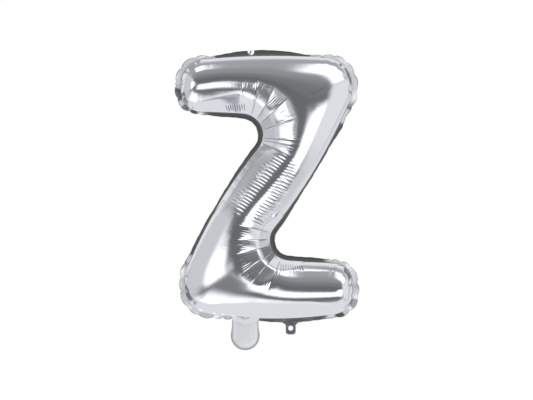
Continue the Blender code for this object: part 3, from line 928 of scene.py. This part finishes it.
class TailSettings(bpy.types.PropertyGroup):
    place: size_of("Place", "How far right of the letter's middle the tail hangs", -26.5, -100, 100)
    neck_width: size_of("Neck width", "Width of the tail's neck", 33.8, 10, 60)
    bulb_radius: size_of("End radius", "Radius of the tail's round end", 18.4, 8, 40)
    bulb_height: size_of("End height", "Height of the round end's middle", -191, -250, -170)
    rim_width: size_of("Rim width", "Width of the welded rim round the tail", 3, 1, 8)
    colour: colour_of("Tail colour", "Colour of the tail's film", (0.85, 0.86, 0.88))


class TabSettings(bpy.types.PropertyGroup):
    place: size_of("Place", "How far right of the letter's middle the tab hangs", 31.5, -100, 100)
    width: size_of("Width", "Width of the hanging tab", 13, 6, 30)
    hole_radius: size_of("Hole radius", "Radius of the tab's hole", 3, 1, 6)
    # Painted shade: the tab's film is given a dark colour for the dark that its flat face mirrors.
    colour: colour_of("Tab colour", "Dark colour of the tab's film, painted shade for the dark it mirrors", (0.36, 0.37, 0.41))


class StudioSettings(bpy.types.PropertyGroup):
    distance: size_of("Camera distance", "Distance of the camera from the balloon", 2200, 500, 20000)
    frame_width: size_of("Frame width", "Width that the picture takes in at the balloon", 679.6, 100, 5000)
    floor_drop: size_of("Floor drop", "How far below the balloon's middle the floor lies", 800, 250, 5000)
    brightness: share_of("Brightness", "Brightness of the studio's white surfaces", FULL_BRIGHTNESS,
                         high=10.0)
    lamp_power: FloatProperty(
        name="Lamp power", description="Power of the soft lamp beside the camera",
        default=22.0, min=0.0, max=500.0, subtype="POWER", unit="POWER")


class BALLOON_OT_envelope(bpy.types.Operator):
    """Make the swollen film of both sides, with its creases, ribs and puckers"""
    bl_idname = "balloon.envelope"
    bl_label = "Envelope"

    def execute(self, context):
        settings = context.scene.balloon_film
        plan, lower, upper = film_plan()
        swell = even_depth(plan, inflated(plan), settings)
        swell = crest_moved(plan, swell, lower)
        swell = folded(plan, swell, lower, LOWER_FOLDS)
        swell = folded(plan[:, ::-1], swell[:, ::-1], upper, UPPER_FOLDS)[:, ::-1]
        swell = np.clip(swell, 0, None)
        swell[[0, -1]] = 0
        swell[:, [0, -1]] = 0
        front, front_shade_lines = film_side(plan, swell, settings, 11)
        back, back_shade_lines = film_side(plan, swell, settings, 29)
        back[..., 1] *= -1
        places = np.concatenate([front, back[:, -2::-1]], axis=1)
        # The crease lines carry the painted crease shade to the material.
        painted_crease_mask = np.concatenate([front_shade_lines, back_shade_lines[:, -2::-1]], axis=1)
        mesh = grid_mesh("foil_envelope", places, crease=painted_crease_mask)
        closed_up(mesh)
        piece(mesh, envelope_material(settings), "silver_foil", "front_panel", "back_panel")
        return {"FINISHED"}


def distance(places, x, z):
    return np.hypot(places[..., 0] - x, places[..., 1] - z)


def margin_painted_light(flat, pucker, run, part, kink):
    """How puckered the margin is and its tone of painted light and shade, at its points."""
    shares = np.repeat(pucker[:, None], len(part), axis=1)
    # Painted light and shade across the flat margin: light by the weld, dark at its outer edge, wavering
    # along it.
    plain = np.interp(part, (0, 0.15, 0.3, 0.7, 1), (1.0, 0.7, 0.4, 0.3, 0.0))
    plain = plain + 0.12 * (np.sin(run * 0.9) * np.sin(run * 0.37 + 1))[:, None] * np.sin(part * 9)
    # Puckered lobes get a painted pale reflection with a shaded outline.
    tone = shares * np.interp(part, (0, 0.1, 0.8, 1), (0.6, 1.0, 1.0, 0.3)) + (1 - shares) * plain
    # The first kink gets a painted glint.
    tone = tone + 3 * kink * part
    # Stretches of painted pale reflection on the flat margin, which also count as puckered.
    for x, z, wide in PAINTED_REFLECTION_STRETCHES:
        pale = 1 - eased(distance(flat, x, z), wide - 4, wide + 2)
        shares = np.maximum(shares, pale)
        tone = np.maximum(tone, pale * np.interp(part, (0, 0.1, 0.7, 1), (0.6, 1.0, 1.0, 0.2)))
    # Lobes that tilt away get painted shade.
    for x, z, wide in PAINTED_SHADE_LOBES:
        tone = tone * (1 - 0.9 * (1 - eased(distance(flat, x, z), wide - 2, wide + 1)))
    return shares, np.clip(tone, 0, 1)


class BALLOON_OT_margin(bpy.types.Operator):
    """Make the welded margin, smooth along straight welds and puckered round the ends"""
    bl_idname = "balloon.margin"
    bl_label = "Seam margin"

    def execute(self, context):
        settings = context.scene.balloon_margin
        tail = context.scene.balloon_tail
        bottom = WELD.nearest(tail.place / MM, BELOW_WELD)
        skip = int((tail.neck_width / MM / 2 - 0.3) / WELD.step)
        order = (bottom + skip + np.arange(WELD.count - 2 * skip)) % WELD.count
        points, outward = WELD.points[order], WELD.outward[order]
        pucker, phase = WELD.pucker[order], WELD.lobes[order]
        run = np.arange(len(order)) * WELD.step
        (width,) = WELD.read(MARGIN_WIDTHS, order)
        lobe = np.abs(np.sin(math.pi * phase)) ** 0.6
        width = width * settings.width + pucker * (1.1 - settings.lobe_depth / MM * (1 - lobe))
        width = width + (1 - pucker) * (0.2 * np.sin(run * 0.19) + 0.12 * np.sin(run * 0.53 + 1))
        part = np.linspace(0, 1, MARGIN_COLUMNS)
        reach = -UNDER_FILM + (width[:, None] + UNDER_FILM) * part
        wave = settings.wave / MM * pucker * np.sin(math.pi * phase)
        lift = wave[:, None] * part ** 1.4
        kinks = [np.clip(1 - distance(points, x, z) / wide, 0, 1)[:, None] for x, z, _, wide in MARGIN_KINKS]
        for (_, _, deep, _), kink in zip(MARGIN_KINKS, kinks):
            lift = lift + deep * part ** 2 * kink
        flat = points[:, None] + outward[:, None] * reach[..., None]
        places = np.stack([flat[..., 0], -lift, flat[..., 1]], axis=-1)
        # The tone carries the margin's painted light and shade.
        shares, tone = margin_painted_light(flat, pucker, run, part, kinks[0])
        mesh = grid_mesh("seam_margin_film", places, pucker=shares, tone=tone)
        flat_piece(mesh, margin_material(settings), "margin_foil", "seam_margin", settings.thickness)
        return {"FINISHED"}


def tail_outline(settings):
    """The neck's nearly straight sides and round end, clockwise from the neck's upper right."""
    x, z = settings.place / MM, settings.bulb_height / MM
    radius, half_neck = settings.bulb_radius / MM, settings.neck_width / MM / 2
    right = []
    for height in np.linspace(TAIL_ROOT, z, 22)[:-1]:
        half = half_neck + (radius - half_neck) * float(eased(height, z + TAIL_WIDENING, z))
        right.append((half, height))
    for angle in np.linspace(0, -math.pi / 2, 25):
        right.append((radius * math.cos(angle), z + radius * math.sin(angle)))
    return [(x + aside, height) for aside, height in right] + \
           [(x - aside, height) for aside, height in reversed(right[:-1])]


class BALLOON_OT_tail(bpy.types.Operator):
    """Make the filling tail: two film layers with a welded rim"""
    bl_idname = "balloon.tail"
    bl_label = "Filling tail"

    def execute(self, context):
        settings = context.scene.balloon_tail
        half = TAIL_HALF_THICKNESS
        made = bmesh.new()
        corners = [made.verts.new((x * MM, -half * MM, z * MM)) for x, z in tail_outline(settings)]
        face = made.faces.new(corners)
        grown = bmesh.ops.extrude_face_region(made, geom=[face])["geom"]
        moved = [item for item in grown if isinstance(item, bmesh.types.BMVert)]
        bmesh.ops.translate(made, verts=moved, vec=(0, 2 * half * MM, 0))
        bmesh.ops.recalc_face_normals(made, faces=made.faces)
        sides = [item for item in made.faces if len(item.verts) > 10]
        for inset, rise in ((0.25, 0), (settings.rim_width / MM, 0), *TAIL_INSETS):
            bmesh.ops.inset_individual(made, faces=sides, thickness=inset * MM, depth=rise * MM)
        bmesh.ops.poke(made, faces=sides)
        mesh = finished("filling_tail_film", made)
        flat_piece(mesh, tail_material(settings), "tail_film", "filling_tail")
        mesh.set_sharp_from_angle(angle=math.radians(40))
        return {"FINISHED"}


def tab_outline(settings):
    """Even points round the tab, from its root's right fillet clockwise."""
    half = settings.width / MM / 2
    found = [(half + TAB_FILLET, TAB_ROOT + 1.2)]
    for angle in np.linspace(math.pi / 2, math.pi, 9):
        found.append((half + TAB_FILLET * (1 + math.cos(angle)),
                      TAB_ROOT - TAB_FILLET * (1 - math.sin(angle))))
    for angle in np.linspace(0, -math.pi / 2, 7):
        found.append((half - TAB_CORNER * (1 - math.cos(angle)),
                      TAB_TIP + TAB_CORNER * (1 + math.sin(angle))))
    found += [(-x, z) for x, z in reversed(found)]
    return evenly(found, TAB_POINTS)


class BALLOON_OT_tab(bpy.types.Operator):
    """Make the hanging tab with its hole"""
    bl_idname = "balloon.tab"
    bl_label = "Hanging tab"

    def execute(self, context):
        settings = context.scene.balloon_tab
        outline = tab_outline(settings)
        hole = np.array((0, TAB_HOLE))
        ring = hole + unit(outline - hole) * settings.hole_radius / MM
        made = bmesh.new()
        loops = [], []
        for pair in zip(outline, ring):
            for loop, (x, z) in zip(loops, pair):
                loop.append(made.verts.new((settings.place + x * MM, 0, z * MM)))
        edges = []
        for loop in loops:
            edges += [made.edges.new((a, b)) for a, b in zip(loop, loop[1:] + loop[:1])]
        bmesh.ops.bridge_loops(made, edges=edges)
        spokes = [edge for edge in made.edges if edge not in set(edges)]
        bmesh.ops.subdivide_edges(made, edges=spokes, cuts=4, use_grid_fill=True)
        bmesh.ops.recalc_face_normals(made, faces=made.faces)
        mesh = finished("hanging_tab_film", made)
        flat_piece(mesh, tab_material(settings), "tab_foil", "hanging_tab", 0.4 * MM)
        return {"FINISHED"}


def studio_world(settings):
    """Plain white for the camera, and for reflections a soft studio of pale and grey cards."""
    world = bpy.data.worlds.new("Studio")
    world.use_nodes = True
    tree = world.node_tree
    tree.nodes.clear()

    def degrees(operation, *values):
        return calc(tree, "DEGREES", calc(tree, operation, *values))

    def mixed(part, first, second):
        return calc(tree, "MULTIPLY_ADD", part, calc(tree, "SUBTRACT", second, first), first)

    def soft_step(value, low, high):
        return ramp(tree, value, low, high, smooth=True)

    place = add(tree, "TexCoord").outputs["Generated"]
    right, back, up = add(tree, "SeparateXYZ", {0: place}).outputs
    front = calc(tree, "MULTIPLY", back, -1.0)
    over = degrees("ARCTAN2", up, front)
    bearing, height = degrees("ARCTAN2", right, front), degrees("ARCSINE", up)
    around, polar = degrees("ARCTAN2", up, right), degrees("ARCCOSINE", front)
    grey = WALL_GREYS[0][1]
    for (low, _), (high, tone) in zip(WALL_GREYS, WALL_GREYS[1:]):
        grey = mixed(soft_step(over, low, high), grey, tone)
    grey = mixed(soft_step(calc(tree, "ABSOLUTE", right), 0.62, 0.92), grey, SIDE_GREY)
    for table, first, second in ((CARDS, bearing, height), (ARCS, around, polar)):
        for _, middle, level, half_width, half_height, soft, tone in table:
            turn = calc(tree, "WRAP", calc(tree, "SUBTRACT", first, middle), 180, -180)
            beside = soft_step(calc(tree, "ABSOLUTE", turn), half_width + soft, half_width - soft)
            rise = calc(tree, "ABSOLUTE", calc(tree, "SUBTRACT", second, level))
            inside = calc(tree, "MULTIPLY", beside, soft_step(rise, half_height + soft, half_height - soft))
            lit = tone * settings.brightness / FULL_BRIGHTNESS if tone > 1 else tone
            grey = mixed(inside, grey, lit)
    mirrored = add(tree, "Background", {"Color": (0.965, 0.98, 1.0, 1), "Strength": grey}).outputs[0]
    seen = add(tree, "Background", {"Color": (1, 1, 1, 1)}).outputs[0]
    by_camera = add(tree, "LightPath").outputs["Is Camera Ray"]
    either = add(tree, "MixShader", {0: by_camera, 1: mirrored, 2: seen}).outputs[0]
    add(tree, "OutputWorld", {"Surface": either})
    return world


class BALLOON_OT_studio(bpy.types.Operator):
    """Set up the camera, the soft studio light and the pale floor"""
    bl_idname = "balloon.studio"
    bl_label = "Studio"

    def execute(self, context):
        settings = context.scene.balloon_studio
        scene = context.scene
        scene.world = studio_world(settings)
        scene.view_settings.view_transform = "Standard"
        scene.view_settings.look = "None"
        camera = bpy.data.cameras.new("Camera")
        camera.sensor_width = 36
        camera.lens = camera.sensor_width * settings.distance / settings.frame_width
        camera.clip_end = 50
        scene.camera = placed("Camera", camera, (0.0006, -settings.distance, -0.0179), (math.pi / 2, 0, 0))
        lamp = bpy.data.lights.new("Soft light", "AREA")
        lamp.size = 1.6
        lamp.energy = settings.lamp_power
        soft_light = placed("Soft light", lamp, (0.9, -2.2, 1.5), (math.radians(58), 0, math.radians(22)))
        soft_light.visible_glossy = False
        made = bmesh.new()
        bmesh.ops.create_circle(made, cap_ends=True, segments=96, radius=3.0)
        mesh = finished("floor", made)
        mesh.materials.append(floor_material())
        floor = placed("floor", mesh, (0, 0, -settings.floor_drop))
        floor.visible_glossy = False
        return {"FINISHED"}


class BALLOON_PT_panel(bpy.types.Panel):
    """Lists the balloon's pieces and their settings"""
    bl_idname = "BALLOON_PT_panel"
    bl_label = "Letter foil balloon"
    bl_space_type = "VIEW_3D"
    bl_region_type = "UI"
    bl_category = "Balloon"

    def draw(self, context):
        for name, (_, operator) in SECTIONS.items():
            box = self.layout.box()
            box.label(text=operator.bl_label)
            settings = getattr(context.scene, name)
            for label in settings.bl_rna.properties.keys():
                if label not in ("rna_type", "name"):
                    box.prop(settings, label)
            box.operator(operator.bl_idname)


SECTIONS = {
    "balloon_film": (FilmSettings, BALLOON_OT_envelope),
    "balloon_margin": (MarginSettings, BALLOON_OT_margin),
    "balloon_tail": (TailSettings, BALLOON_OT_tail),
    "balloon_tab": (TabSettings, BALLOON_OT_tab),
    "balloon_studio": (StudioSettings, BALLOON_OT_studio),
}
CLASSES = (*[made for pair in SECTIONS.values() for made in pair], BALLOON_PT_panel)


def register():
    for made in CLASSES:
        bpy.utils.register_class(made)
    for name, (group, _) in SECTIONS.items():
        setattr(bpy.types.Scene, name, PointerProperty(type=group))


def unregister():
    for name in SECTIONS:
        delattr(bpy.types.Scene, name)
    for made in reversed(CLASSES):
        bpy.utils.unregister_class(made)


def main():
    register()
    bpy.ops.balloon.studio()
    bpy.ops.balloon.envelope()
    bpy.ops.balloon.margin()
    bpy.ops.balloon.tail()
    bpy.ops.balloon.tab()


if __name__ == "__main__":
    main()
